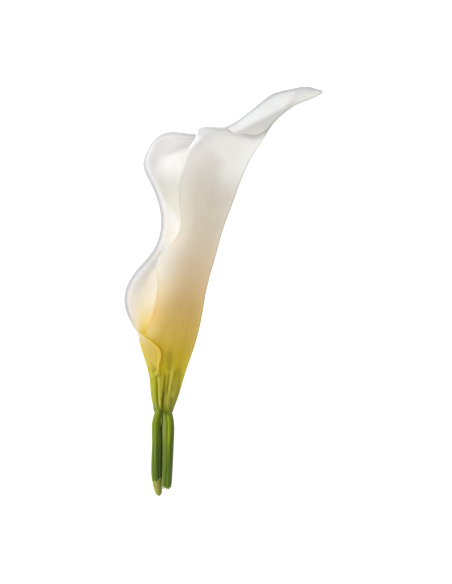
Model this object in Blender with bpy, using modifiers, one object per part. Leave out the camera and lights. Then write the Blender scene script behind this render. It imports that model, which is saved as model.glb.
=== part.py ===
"""Calla lily, a cut flower lying on its side.

Four pieces: the spathe (the white funnel, one leaf-like sheet rolled round on itself), the spadix (the yellow
rod inside it) and the two strands of the cut stalk. Lengths in the tables are millimetres and angles are degrees;
the model itself is in metres, +Z up. Pieces that touch in the real flower stand about 0.3 mm apart here.

Frame: the flower lies on z = 0 along +Y, cut end at -Y, mouth and tip at +Y. The origin is the middle of the
bounding box's underside.
"""

import math

import bmesh
import bpy
import numpy as np

MM = 0.001

# ---- driving dimensions -------------------------------------------------------------------------------------
WALL = 0.80  # thickness of the spathe's sheet
SHIFT = (0.23, -0.17, -0.24)  # moves the tables below so that the origin is under the box's middle

# The spathe is a loft of slanted sections, from the collar on the stalk to the tip. Each section is an arc of an
# oval: it starts on the upper margin, runs round the back and underneath, and ends on the lower margin.
#   back   : x, y of the oval's outermost point on the back (+X) side
#   slant  : how far the section leans over
#   oval   : half width, half height above and below the centre, height of the centre
#   upper  : x, y, z of the upper margin, the edge of the wall that lies on top
#   lower  : x, y, z of the lower margin, which laps over the upper one below y = -20
#   dip    : angles between which the upper wall draws in to pass under the lap
#   flare  : angle over which the lower wall opens out to its margin
SECTIONS = (
    # back         slant   oval                    upper margin          lower margin          dip       flare
    ((-21.7, -50.0), 0.0, (4.7, 4.0, 4.0, 8.2), (-27.3, -50.0, 11.9), (-28.4, -50.0, 11.8), (25, 100), 50),
    ((-20.0, -43.7), 1.0, (5.8, 5.0, 5.0, 9.4), (-29.6, -43.5, 11.7), (-28.3, -43.6, 14.0), (25, 100), 50),
    ((-18.5, -38.6), 3.0, (6.8, 6.2, 5.9, 10.5), (-30.7, -38.0, 11.5), (-28.2, -38.1, 16.0), (25, 100), 50),
    ((-16.2, -31.1), 6.0, (8.8, 8.2, 7.6, 11.8), (-32.1, -29.4, 13.2), (-28.3, -29.8, 19.7), (25, 100), 50),
    ((-14.0, -24.6), 8.5, (10.9, 10.1, 9.4, 13.0), (-33.2, -21.7, 16.2), (-29.1, -22.4, 22.6), (25, 102), 50),
    ((-12.5, -19.7), 10.0, (12.2, 11.3, 10.7, 13.9), (-32.3, -16.3, 21.0), (-36.8, -15.2, 17.2), (45, 135), 60),
    ((-10.5, -10.5), 13.0, (12.4, 12.0, 11.3, 15.3), (-29.8, -6.0, 25.0), (-38.0, -4.2, 14.3), (56, 126), 80),
    ((-8.8, -1.3), 14.5, (12.1, 12.0, 11.3, 16.6), (-28.3, 3.8, 25.7), (-35.9, 5.7, 13.9), (70, 130), 80),
    ((-6.3, 8.0), 15.0, (12.0, 12.0, 11.3, 17.8), (-26.9, 13.5, 25.4), (-29.5, 14.2, 14.1), (90, 140), 80),
    ((-3.4, 18.1), 15.0, (12.3, 12.2, 11.8, 19.1), (-22.5, 22.8, 28.7), (-24.4, 23.5, 13.2), (82, 127), 70),
    ((0.0, 29.8), 14.5, (13.9, 13.4, 13.0, 20.6), (-19.1, 35.1, 32.7), (-24.4, 35.9, 13.0), (75, 115), 60),
    ((4.0, 40.3), 13.0, (17.6, 16.8, 16.4, 21.8), (-17.8, 46.2, 37.8), (-28.6, 47.7, 12.0), (66, 106), 55),
    ((8.2, 51.2), 12.0, (21.2, 19.7, 19.3, 22.7), (-14.1, 57.1, 42.4), (-29.6, 58.4, 4.6), (54, 94), 50),
    ((11.5, 58.0), 13.0, (22.7, 21.0, 21.0, 22.7), (-8.2, 64.7, 43.7), (-22.7, 64.0, 1.4), (45, 85), 45),
    ((14.3, 62.6), 16.0, (21.8, 20.6, 20.2, 21.6), (2.1, 64.9, 41.3), (-7.8, 64.5, 2.6), (25, 65), 40),
    ((16.8, 66.6), 24.0, (18.1, 17.6, 17.2, 18.5), (11.8, 65.2, 31.7), (5.7, 68.9, 3.2), (14, 44), 40),
    ((19.3, 69.7), 36.0, (13.0, 13.0, 12.6, 13.9), (17.3, 68.0, 20.2), (11.8, 74.8, 2.7), (7, 27), 40),
    ((22.7, 73.5), 48.0, (8.4, 8.8, 8.4, 9.4), (21.8, 73.0, 12.3), (17.6, 80.0, 2.3), (-1, 18), 40),
    ((26.5, 77.3), 54.0, (5.2, 5.9, 5.5, 6.5), (26.2, 77.1, 8.2), (22.6, 83.0, 2.1), (-3, 16), 40),
    ((31.1, 80.0), 57.0, (3.5, 3.8, 3.4, 4.4), (31.0, 80.1, 5.8), (28.3, 84.5, 2.0), (1, 21), 40),
    ((35.7, 81.7), 60.0, (2.4, 2.5, 2.3, 3.0), (35.8, 81.6, 4.0), (34.1, 85.2, 2.0), (4, 24), 40),
    ((40.3, 83.4), 60.0, (1.3, 1.4, 1.2, 1.9), (40.4, 83.0, 2.1), (39.4, 84.8, 1.6), (-2, 17), 40),
)
# The edges roll outwards: radius and angle of the roll on the upper and lower margins, at the same sections.
UPPER_ROLL = (
    (0.6, 0), (0.6, 0), (0.6, 0), (0.6, 0), (0.6, 10), (0.7, 35), (0.8, 60), (0.8, 70), (0.8, 80), (0.8, 80), (0.8, 85),
    (0.9, 100), (1.4, 140), (2.5, 175), (1.9, 175), (0.9, 150), (0.8, 90), (0.8, 60), (0.8, 45), (0.8, 30), (0.8, 15), (0.8, 5),
)  # fmt: skip
LOWER_ROLL = (
    (0.6, 0), (0.6, 0), (0.6, 0), (0.6, 0), (0.6, 10), (0.8, 40), (2.7, 75), (3.4, 80), (3.4, 75), (3.4, 70), (3.4, 70),
    (3.6, 75), (3.5, 78), (2.9, 75), (2.1, 75), (1.5, 75), (1.1, 75), (0.9, 70), (0.8, 60), (0.8, 45), (0.8, 20), (0.8, 5),
)  # fmt: skip
ROWS_PER_SECTION = 2  # loft rows between two sections
AROUND = 30  # points across the sheet, margin to margin
ROLL_STEPS = 4

# The spadix: a blunt rod on the funnel's axis, from the top of the stalk to well inside the mouth.
SPADIX = (  # x, y, z, radius
    (-24.9, -43.9, 9.3, 2.3), (-24.9, -42.5, 9.6, 2.5), (-24.6, -34.0, 11.1, 2.7), (-23.7, -22.0, 13.2, 3.0),
    (-22.4, -8.0, 15.3, 3.1), (-20.6, 4.0, 16.9, 3.0), (-18.2, 14.0, 18.2, 2.8), (-16.4, 20.5, 19.0, 2.4),
    (-15.9, 22.6, 19.3, 1.7), (-15.7, 23.5, 19.4, 0.7),
)  # fmt: skip
# The stalk, split into two strands. Each narrows where it goes up into the collar of the spathe. The left strand
# ends in an oblique point, the right one in a blunt torn end.
STALK_LEFT = (
    (-28.15, -44.6, 9.4, 1.50), (-28.15, -50.0, 8.2, 1.50), (-28.75, -53.2, 7.6, 2.15), (-29.0, -62.0, 5.5, 2.25),
    (-29.35, -74.0, 3.1, 2.35), (-29.2, -78.5, 2.3, 2.10), (-28.8, -82.0, 1.5, 1.30), (-28.4, -85.2, 0.7, 0.35),
)  # fmt: skip
STALK_RIGHT = (
    (-24.75, -44.6, 9.4, 1.50), (-24.75, -50.0, 8.2, 1.50), (-24.1, -53.2, 7.6, 2.25), (-24.05, -62.0, 5.5, 2.30),
    (-24.45, -74.0, 3.1, 2.30), (-24.6, -79.0, 2.4, 2.20), (-24.7, -81.9, 2.2, 1.80),
)  # fmt: skip


# ---- helpers ------------------------------------------------------------------------------------------------
def spline(x, rows, at):
    """Natural cubic spline through rows (one column per quantity)."""
    n = len(x)
    h = np.diff(x)
    a = np.zeros((n, n))
    rhs = np.zeros((n, rows.shape[1]))
    a[0, 0] = a[-1, -1] = 1
    for i in range(1, n - 1):
        a[i, i - 1], a[i, i], a[i, i + 1] = h[i - 1], 2 * (h[i - 1] + h[i]), h[i]
        rhs[i] = 6 * ((rows[i + 1] - rows[i]) / h[i] - (rows[i] - rows[i - 1]) / h[i - 1])
    m = np.linalg.solve(a, rhs)
    k = np.clip(np.searchsorted(x, at, side="right") - 1, 0, n - 2)
    d = (at - x[k])[:, None]
    h = h[k][:, None]
    lo, hi, m0, m1 = rows[k], rows[k + 1], m[k], m[k + 1]
    return lo + d * ((hi - lo) / h - h * (2 * m0 + m1) / 6) + d * d * m0 / 2 + d**3 * (m1 - m0) / (6 * h)


def unit(v):
    return v / np.maximum(np.linalg.norm(v, axis=-1, keepdims=True), 1e-9)


def blur(v, times):
    for _ in range(times):
        v = np.vstack([v[:1], (v[:-2] + 2 * v[1:-1] + v[2:]) / 4, v[-1:]])
    return v


def seen_from(section, point):
    """A margin point as (angle, radius as a share of the oval's, lift along the axis)."""
    (bx, by), slant, (a, up, down, cz) = section[:3]
    s = math.radians(slant)
    dx = point[0] - (bx - a * math.cos(s))
    dy = point[1] - (by + a * math.sin(s))
    u = (dx * math.cos(s) - dy * math.sin(s)) / a
    lift = dx * math.sin(s) + dy * math.cos(s)
    dz = point[2] - cz
    th = math.atan2(dz, u)
    for _ in range(30):
        half = (up + down) / 2 + (up - down) / 2 * math.sin(th)
        th = math.atan2(dz / half, u)
    return math.degrees(th), math.hypot(u, dz / half), lift


def rolled_sheet():
    """Points and quads of the spathe's middle surface: the loft, and the strip that rolls out along its margins."""
    rows = []
    for section, (ur, ua), (lr, la) in zip(SECTIONS, UPPER_ROLL, LOWER_ROLL):
        (bx, by), slant, oval, upper, lower, dip, flare = section
        ua_th, ur_f, u_lift = seen_from(section, upper)
        lo_th, lr_f, l_lift = seen_from(section, lower)
        lo_th -= 0 if lo_th < -30 else 360
        rows.append((bx, by, slant, *oval, ua_th % 360, ur_f, u_lift, lo_th, lr_f, l_lift, *dip, flare, ur, ua, lr, la))
    rows = np.array(rows, float)
    steps = np.linalg.norm(np.diff(rows[:, :2], axis=0), axis=1)
    along = np.concatenate([[0], np.cumsum(steps)])
    n = ROWS_PER_SECTION * (len(rows) - 1) + 1
    at = np.interp(np.linspace(0, len(rows) - 1, n), np.arange(len(rows)), along)
    loft = spline(along, rows, at)

    grid = np.zeros((n, AROUND, 3))
    share = np.linspace(0, 1, AROUND)
    for i, row in enumerate(loft):
        bx, by, slant, a, up, down, cz, th_u, r_u, w_u, th_l, r_l, w_l, dip0, dip1, flare = row[:16]
        th = th_u + (th_l - th_u) * share
        opening = np.clip((th_l + flare - th) / flare, 0, 1) ** 2
        drawn = np.clip((th - dip0) / (dip1 - dip0), 0, 1)
        drawn = drawn * drawn * (3 - 2 * drawn)
        r = 1 + (r_l - 1) * opening + (r_u - 1) * drawn
        lift = w_l * opening + w_u * np.clip((th - dip0) / (th_u - dip0), 0, 1) ** 2
        s = math.radians(slant)
        c, k = np.cos(np.radians(th)), np.sin(np.radians(th))
        half = (up + down) / 2 + (up - down) / 2 * k
        out = a * r * c - a
        grid[i, :, 0] = bx + out * math.cos(s) + lift * math.sin(s)
        grid[i, :, 1] = by - out * math.sin(s) + lift * math.cos(s)
        grid[i, :, 2] = cz + half * r * k

    number = np.arange(n * AROUND).reshape(n, AROUND)
    points = grid.reshape(-1, 3)
    quads = [
        (number[i, j], number[i + 1, j], number[i + 1, j + 1], number[i, j + 1])
        for i in range(n - 1)
        for j in range(AROUND - 1)
    ]

    def ring(k):
        """Point numbers k steps in from the margin: up the upper side, across the tip, down the lower side."""
        tip = number[n - 1 - k, 1:-1]
        return np.concatenate([number[:, k], tip, number[::-1, AROUND - 1 - k]])

    edge = ring(0)
    at_edge = points[edge]
    run = unit(np.gradient(at_edge, axis=0))
    out = 3 * at_edge - 4 * points[ring(1)] + points[ring(2)]
    out = unit(blur(unit(out - (out * run).sum(1, keepdims=True) * run), 3))
    away = unit(blur(unit(np.cross(run, out)), 3))
    away = unit(away - (away * out).sum(1, keepdims=True) * out)
    across = AROUND - 2
    radius = np.concatenate([loft[:, 16], np.linspace(loft[-1, 16], loft[-1, 18], across), loft[::-1, 18]])
    turn = np.radians(np.concatenate([loft[:, 17], np.linspace(loft[-1, 17], loft[-1, 19], across), loft[::-1, 19]]))
    radius = np.maximum(radius, 0.6)
    turn = np.maximum(turn, math.radians(1))
    # An edge that isn't rolled still gets a short straight strip, so the sheet keeps one layout throughout.
    flat = 0.35 * np.clip(1 - turn / math.radians(30), 0, 1)
    last = edge
    for step in range(1, ROLL_STEPS + 1):
        w = turn * step / ROLL_STEPS
        x = radius * np.sin(w) + flat * step / ROLL_STEPS
        z = radius * (1 - np.cos(w))
        first = len(points)
        points = np.vstack([points, at_edge + out * x[:, None] + away * z[:, None]])
        new = np.arange(first, first + len(edge))
        quads += [(last[i], new[i], new[i + 1], last[i + 1]) for i in range(len(edge) - 1)]
        last = new
    return points + np.array(SHIFT), quads


def material(name, colour, roughness):
    m = bpy.data.materials.new(name)
    m.use_nodes = True
    shader = m.node_tree.nodes["Principled BSDF"]
    shader.inputs["Base Color"].default_value = (*colour, 1.0)
    shader.inputs["Roughness"].default_value = roughness
    shader.inputs["Metallic"].default_value = 0.0
    return m


def put(name, data, collection, mat):
    obj = bpy.data.objects.new(name, data)
    data.materials.append(mat)
    collection.objects.link(obj)
    return obj


def strand(name, stations, collection, mat, sides=4):
    """A tapered stem or rod: a curve through the stations with a round section and closed ends."""
    stations = np.array(stations, float)
    along = np.concatenate([[0], np.cumsum(np.linalg.norm(np.diff(stations[:, :3], axis=0), axis=1))])
    at = np.unique(np.concatenate([np.linspace(0, along[-1], 12), along]).round(3))
    keep = [at[0]]
    for v in at[1:]:
        if v - keep[-1] > 0.6 or v == at[-1]:
            keep.append(v)
    at = np.array(keep)
    line = np.stack([np.interp(at, along, stations[:, k]) for k in range(4)], axis=1)
    curve = bpy.data.curves.new(name, "CURVE")
    curve.dimensions = "3D"
    curve.bevel_depth = 1.0 * MM
    curve.bevel_resolution = sides
    curve.use_fill_caps = True
    poly = curve.splines.new("POLY")
    poly.points.add(len(line) - 1)
    for point, (x, y, z, r) in zip(poly.points, line):
        point.co = ((x + SHIFT[0]) * MM, (y + SHIFT[1]) * MM, (z + SHIFT[2]) * MM, 1.0)
        point.radius = r
    return put(name, curve, collection, mat)


# ---- the flower ---------------------------------------------------------------------------------------------
for old in list(bpy.data.objects):
    bpy.data.objects.remove(old, do_unlink=True)

flower = bpy.data.collections.new("calla_lily")
bpy.context.scene.collection.children.link(flower)

white_petal = material("spathe_white", (0.86, 0.80, 0.66), 0.45)
pollen_yellow = material("spadix_yellow", (0.85, 0.60, 0.10), 0.75)
stalk_green = material("stalk_green", (0.15, 0.24, 0.04), 0.45)

points, quads = rolled_sheet()
sheet = bpy.data.meshes.new("spathe")
sheet.from_pydata([tuple(p) for p in (points * MM).tolist()], [], [tuple(int(i) for i in q) for q in quads])
work = bmesh.new()
work.from_mesh(sheet)
bmesh.ops.recalc_face_normals(work, faces=work.faces)
work.to_mesh(sheet)
work.free()
sheet.shade_smooth()
spathe = put("spathe", sheet, flower, white_petal)
thick = spathe.modifiers.new("wall", "SOLIDIFY")
thick.thickness = WALL * MM
thick.offset = 0.0

strand("spadix", SPADIX, flower, pollen_yellow)
strand("stalk_left", STALK_LEFT, flower, stalk_green)
strand("stalk_right", STALK_RIGHT, flower, stalk_green)
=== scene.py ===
"""The looks of the cut calla lily: the petal, the spadix, the cut stalk, the table it lies on, the lights and the camera.

Lengths in the tables are millimetres in the flower's own frame: it lies along +Y, its tip leans to +X, +Z is up.
"""

import math

import bpy
import numpy as np
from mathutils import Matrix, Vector


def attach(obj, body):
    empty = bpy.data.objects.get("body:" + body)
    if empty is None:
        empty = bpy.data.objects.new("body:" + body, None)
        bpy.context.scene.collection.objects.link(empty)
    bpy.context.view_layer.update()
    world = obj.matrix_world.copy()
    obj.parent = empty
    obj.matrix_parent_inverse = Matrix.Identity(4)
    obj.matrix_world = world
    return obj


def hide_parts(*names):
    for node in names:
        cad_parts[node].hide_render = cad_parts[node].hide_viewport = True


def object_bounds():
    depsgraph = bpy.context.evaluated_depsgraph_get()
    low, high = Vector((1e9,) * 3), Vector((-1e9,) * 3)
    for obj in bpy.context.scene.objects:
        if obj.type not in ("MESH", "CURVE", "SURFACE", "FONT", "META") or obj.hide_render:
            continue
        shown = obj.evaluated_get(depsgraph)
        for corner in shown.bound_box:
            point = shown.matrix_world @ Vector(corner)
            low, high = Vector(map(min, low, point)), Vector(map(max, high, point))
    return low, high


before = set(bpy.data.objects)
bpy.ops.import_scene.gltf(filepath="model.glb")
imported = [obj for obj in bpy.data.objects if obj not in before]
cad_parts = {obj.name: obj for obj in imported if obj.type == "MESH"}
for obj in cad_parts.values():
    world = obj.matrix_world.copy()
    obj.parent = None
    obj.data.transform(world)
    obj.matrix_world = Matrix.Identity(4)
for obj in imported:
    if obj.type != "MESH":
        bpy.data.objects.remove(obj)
cad_low, cad_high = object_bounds()

MM = 0.001
SHIFT = np.array([0.23, -0.17, -0.24])

# ---- the petal's sections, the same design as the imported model's ---------------------------------------------
#   back (x, y) | slant | half width, half height above and below, centre height | upper margin | lower margin |
#   angles of the dip under the lap | flare
SECTIONS = (
    ((-22.3, -50.0), 0.0, (3.95, 2.9, 2.9, 8.1), (-27.1, -50.0, 11.7), (-27.4, -50.0, 11.7), (25, 100), 50),
    ((-20.2, -43.7), 1.0, (5.35, 4.6, 4.6, 9.4), (-29.2, -43.5, 11.7), (-27.5, -43.6, 13.9), (25, 100), 50),
    ((-18.7, -38.6), 3.0, (6.35, 6.1, 5.9, 10.5), (-30.7, -38.0, 11.5), (-27.5, -38.1, 16.0), (25, 100), 50),
    ((-16.3, -31.1), 6.0, (8.5, 8.1, 7.6, 11.8), (-32.1, -29.4, 13.2), (-28.1, -29.8, 19.7), (25, 100), 50),
    ((-14.0, -24.6), 8.5, (10.9, 10.1, 9.4, 13.0), (-33.2, -21.7, 16.2), (-29.1, -22.4, 22.6), (25, 102), 50),
    ((-12.5, -19.7), 10.0, (12.2, 11.3, 10.7, 13.9), (-32.3, -16.3, 21.0), (-37.8, -15.2, 17.2), (45, 135), 60),
    ((-10.5, -10.5), 13.0, (12.4, 12.0, 11.3, 15.3), (-28.7, -6.0, 25.0), (-39.4, -4.4, 14.3), (56, 126), 80),
    ((-8.8, -1.3), 14.5, (12.1, 12.0, 11.3, 16.6), (-27.6, 3.8, 25.7), (-34.9, 5.6, 13.9), (70, 130), 80),
    ((-6.3, 8.0), 15.0, (12.0, 12.0, 11.3, 17.8), (-26.9, 13.5, 25.4), (-28.2, 14.2, 14.1), (90, 140), 80),
    ((-3.4, 18.1), 15.0, (12.3, 12.2, 11.8, 19.1), (-19.1, 22.8, 28.7), (-24.3, 23.5, 13.2), (82, 127), 70),
    ((0.0, 29.8), 14.5, (13.9, 13.4, 13.0, 20.6), (-18.0, 35.1, 32.7), (-24.2, 35.9, 13.0), (75, 115), 60),
    ((4.0, 40.3), 13.0, (17.6, 16.8, 16.4, 21.8), (-17.8, 46.2, 37.8), (-28.2, 48.0, 12.0), (66, 106), 55),
    ((8.5, 51.2), 12.0, (21.2, 19.7, 19.3, 22.7), (-14.1, 57.1, 42.4), (-29.3, 58.0, 4.6), (54, 94), 50),
    ((12.0, 58.0), 13.0, (22.7, 21.0, 21.0, 22.7), (-8.6, 64.7, 43.7), (-21.5, 64.0, 1.4), (45, 85), 45),
    ((15.0, 62.6), 16.0, (21.8, 20.6, 20.2, 21.6), (2.1, 64.5, 41.0), (-7.5, 64.8, 2.6), (25, 65), 40),
    ((17.3, 66.5), 24.0, (18.1, 17.6, 17.2, 18.5), (11.8, 63.5, 31.7), (3.8, 69.3, 3.2), (14, 44), 40),
    ((19.3, 69.7), 36.0, (13.0, 13.0, 12.6, 13.9), (17.3, 68.0, 20.2), (10.5, 75.2, 2.7), (7, 27), 40),
    ((22.7, 73.5), 48.0, (8.4, 8.8, 8.4, 9.4), (21.8, 73.0, 12.3), (16.8, 80.5, 2.3), (-1, 18), 40),
    ((26.8, 76.9), 54.0, (5.2, 5.9, 5.5, 6.5), (26.5, 76.8, 8.2), (22.2, 83.6, 2.1), (-3, 16), 40),
    ((31.5, 79.3), 57.0, (3.5, 3.8, 3.4, 4.4), (31.4, 79.5, 5.8), (28.5, 85.1, 2.0), (1, 21), 40),
    ((36.0, 81.1), 60.0, (2.4, 2.5, 2.3, 3.0), (36.1, 81.1, 4.0), (34.6, 85.8, 2.0), (4, 24), 40),
    ((40.3, 83.4), 60.0, (1.3, 1.4, 1.2, 1.9), (40.4, 83.0, 2.1), (39.6, 85.0, 1.6), (-2, 17), 40),
)
UPPER_ROLL = (
    (0.6, 0), (0.6, 0), (0.6, 0), (0.6, 0), (0.6, 10), (0.7, 35), (0.8, 60), (0.8, 70), (0.8, 80), (0.8, 80), (0.8, 85),
    (0.9, 95), (1.3, 120), (2.3, 222), (0.9, 165), (0.6, 14), (0.6, 12), (0.6, 12), (0.6, 15), (0.6, 15), (0.6, 10), (0.6, 5),
)  # fmt: skip
LOWER_ROLL = (
    (0.6, 0), (0.6, 0), (0.6, 0), (0.6, 0), (0.6, 10), (0.8, 40), (2.7, 75), (3.4, 80), (3.4, 75), (3.4, 70), (3.4, 70),
    (3.6, 75), (3.5, 78), (2.9, 75), (2.1, 75), (1.5, 70), (1.1, 55), (0.9, 45), (0.8, 35), (0.8, 22), (0.7, 12), (0.6, 5),
)  # fmt: skip

ROWS_PER_SECTION = (9, 10, 18, 13, 9, 8, 8, 8, 8, 8, 9, 9, 9, 9, 9, 8, 8, 7, 6, 6, 6)
AROUND = 170
ROLL_STEPS = 12

# ---- lines drawn in plan (x, y) ------------------------------------------------------------------------------
# Where the far wall folds outwards into its flared, paler margin: from the lip, round the lobe, down to the lap.
FOLD_LINE = (
    (-8.8, 68.0), (-13.9, 61.2), (-21.4, 58.0), (-27.6, 56.0), (-30.4, 51.2), (-29.6, 45.0), (-26.5, 39.5),
    (-18.8, 28.0), (-20.2, 23.0), (-25.0, 17.0), (-28.8, 12.6), (-31.3, 8.4), (-33.6, 4.9), (-35.9, 0.6), (-37.2, -3.5), (-37.9, -8.0), (-38.0, -11.0),
)  # fmt: skip
# The brow of the limb: the sheet turns down from this line into its shaded lower half, to the right of the line.
BROW = ((2.3, 67.0), (7.7, 68.9), (11.9, 71.2), (18.1, 74.3), (24.3, 77.5), (26.9, 80.2), (28.1, 82.3))
# The sharp corner where the lip starts: middle of each move in plan, its reach, the move.
LIP_MOVES = (
    ((-13.4, 62.6), 2.8, (1.7, -0.4, 0.0)),
    ((-9.6, 65.6), 1.6, (-0.5, 0.8, 0.0)),
    ((-3.9, 68.2), 3.2, (0.6, -0.9, 0.0)),
    ((3.0, 65.4), 3.2, (0.0, 0.3, 0.0)),
    ((7.0, 64.0), 2.8, (0.0, 0.7, 0.0)),
)
# The crest of the lip's fold.
CREST = ((-11.2, 64.6), (-9.6, 66.8), (-6.0, 67.2), (0.8, 66.9), (3.0, 66.0))
# Gathers on the upper side of the base: line | half width | height, a groove where it is below 0.
GATHERS = (
    (((-31.0, -32.0), (-30.9, -38.0), (-30.5, -45.0), (-29.6, -50.0)), 0.45, 0.22),
    (((-29.9, -34.4), (-29.8, -39.0), (-29.6, -45.0), (-28.9, -50.2)), 0.50, 0.20),
    (((-28.5, -35.2), (-28.4, -40.0), (-28.35, -45.0), (-28.15, -50.4)), 0.32, -0.34),
    (((-27.8, -33.8), (-27.6, -37.0), (-27.5, -41.5), (-27.5, -45.8), (-27.4, -50.0)), 0.58, 0.62),
    (((-26.6, -35.0), (-26.7, -40.0), (-26.8, -44.6)), 0.50, 0.30),
    (((-25.2, -34.0), (-25.5, -38.6), (-25.8, -41.5), (-26.2, -44.0)), 0.30, -0.32),
    (((-25.8, -41.0), (-26.2, -44.0), (-26.5, -46.5), (-26.4, -48.4), (-25.9, -50.8)), 0.34, -0.34),
    (((-24.1, -31.6), (-24.4, -35.7), (-24.9, -39.8), (-25.3, -43.2), (-25.6, -47.6)), 0.34, 0.28),
    (((-23.8, -33.6), (-24.3, -38.4), (-24.7, -42.4)), 0.26, -0.26),
    (((-21.9, -29.6), (-22.6, -34.4), (-23.3, -38.2), (-23.9, -41.5), (-24.4, -44.8), (-24.7, -48.2)), 0.48, 0.46),
    (((-21.2, -35.0), (-21.9, -39.4), (-22.5, -44.0), (-23.6, -49.0)), 1.05, 0.22),
    (((-21.5, -32.0), (-22.4, -37.6), (-23.0, -42.0)), 0.26, -0.18),
    (((-20.5, -31.4), (-21.3, -36.6), (-22.0, -41.4)), 0.26, -0.16),
    (((-22.7, -43.4), (-22.8, -46.0), (-23.4, -49.2)), 0.62, -0.24),
    (((-19.3, -31.0), (-20.0, -37.0), (-20.9, -43.0), (-21.9, -48.6)), 0.50, -0.16),
    (((-23.4, -24.0), (-23.4, -28.5), (-23.6, -33.0)), 1.30, -0.14),
)
# The crumple where the lap's edge ends.
CRUMPLE = (
    (((-30.4, -35.1), (-29.5, -34.5), (-28.7, -33.6), (-28.0, -32.4)), 0.46, 0.34),
    (((-31.0, -32.6), (-30.4, -34.0), (-30.1, -35.4)), 0.30, 0.34),
    (((-27.9, -26.4), (-27.7, -29.4), (-27.8, -32.0)), 0.26, 0.26),
    (((-30.8, -33.0), (-30.0, -32.9), (-29.3, -32.2), (-28.8, -31.2)), 0.30, -0.16),
    (((-31.0, -29.0), (-30.2, -30.8), (-29.7, -32.6)), 0.34, -0.12),
    (((-29.2, -35.6), (-28.3, -35.0), (-27.6, -34.0)), 0.30, -0.26),
)


# ---- helpers -------------------------------------------------------------------------------------------------
def spline(x, rows, at):
    """Natural cubic spline through rows (one column per quantity)."""
    n = len(x)
    h = np.diff(x)
    a = np.zeros((n, n))
    rhs = np.zeros((n, rows.shape[1]))
    a[0, 0] = a[-1, -1] = 1
    for i in range(1, n - 1):
        a[i, i - 1], a[i, i], a[i, i + 1] = h[i - 1], 2 * (h[i - 1] + h[i]), h[i]
        rhs[i] = 6 * ((rows[i + 1] - rows[i]) / h[i] - (rows[i] - rows[i - 1]) / h[i - 1])
    m = np.linalg.solve(a, rhs)
    k = np.clip(np.searchsorted(x, at, side="right") - 1, 0, n - 2)
    d = (at - x[k])[:, None]
    h = h[k][:, None]
    lo, hi, m0, m1 = rows[k], rows[k + 1], m[k], m[k + 1]
    return lo + d * ((hi - lo) / h - h * (2 * m0 + m1) / 6) + d * d * m0 / 2 + d**3 * (m1 - m0) / (6 * h)


def unit(v):
    return v / np.maximum(np.linalg.norm(v, axis=-1, keepdims=True), 1e-9)


def blur(v, times):
    for _ in range(times):
        v = np.vstack([v[:1], (v[:-2] + 2 * v[1:-1] + v[2:]) / 4, v[-1:]])
    return v


def ease(x, lo=0.0, hi=1.0):
    """0 before lo, 1 after hi, smooth between; it falls where hi is under lo."""
    t = np.clip((x - lo) / (hi - lo), 0, 1)
    return t * t * (3 - 2 * t)


def seen_from(section, point):
    (bx, by), slant, (a, up, down, cz) = section[:3]
    s = math.radians(slant)
    dx = point[0] - (bx - a * math.cos(s))
    dy = point[1] - (by + a * math.sin(s))
    u = (dx * math.cos(s) - dy * math.sin(s)) / a
    lift = dx * math.sin(s) + dy * math.cos(s)
    dz = point[2] - cz
    th = math.atan2(dz, u)
    for _ in range(30):
        half = (up + down) / 2 + (up - down) / 2 * math.sin(th)
        th = math.atan2(dz / half, u)
    return math.degrees(th), math.hypot(u, dz / half), lift


def vertex_normals(points, quads):
    """Area-weighted normals of a quad mesh."""
    a, b, c, d = (points[quads[:, k]] for k in range(4))
    face = np.cross(c - a, d - b)
    out = np.zeros_like(points)
    for k in range(4):
        np.add.at(out, quads[:, k], face)
    return unit(out)


def relax(points, quads, weight, times):
    """Laplacian smoothing, by weight at each point; open borders stay where they are."""
    pairs = np.concatenate([quads[:, [0, 1]], quads[:, [1, 2]], quads[:, [2, 3]], quads[:, [3, 0]]])
    pairs = np.unique(np.sort(pairs, axis=1), axis=0)
    count = np.bincount(pairs.ravel(), minlength=len(points)).astype(float)[:, None]
    for _ in range(times):
        total = np.zeros_like(points)
        np.add.at(total, pairs[:, 0], points[pairs[:, 1]])
        np.add.at(total, pairs[:, 1], points[pairs[:, 0]])
        points = points + (total / count - points) * 0.5 * weight[:, None]
    return points


def waves(points, size, seed):
    """A smooth random field of about -1 to 1, made of sine waves of this size in millimetres."""
    rng = np.random.default_rng(seed)
    total = np.zeros(len(points))
    for _ in range(14):
        direction = unit(rng.normal(size=3)) * rng.uniform(0.6, 1.5) * 2 * math.pi / size
        total += np.sin(points @ direction + rng.uniform(0, 2 * math.pi))
    return total / math.sqrt(14)


def near_line(x, y, line):
    """Distance to a drawn line in plan, how far along it (0 to 1) the nearest place is, and 1 or -1 for its left or right."""
    line = np.array(line, float)
    steps = np.linalg.norm(np.diff(line, axis=0), axis=1)
    start = np.concatenate([[0], np.cumsum(steps)])
    best = np.full(x.shape, 1e9)
    where = np.zeros(x.shape)
    side = np.ones(x.shape)
    for (ax, ay), (bx, by), step, s0 in zip(line[:-1], line[1:], steps, start[:-1]):
        t = np.clip(((x - ax) * (bx - ax) + (y - ay) * (by - ay)) / step**2, 0, 1)
        d = np.hypot(x - ax - t * (bx - ax), y - ay - t * (by - ay))
        closer = d < best
        best = np.where(closer, d, best)
        where = np.where(closer, (s0 + t * step) / start[-1], where)
        side = np.where(closer, np.where((bx - ax) * (y - ay) > (by - ay) * (x - ax), 1, -1), side)
    return best, where, side


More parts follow.
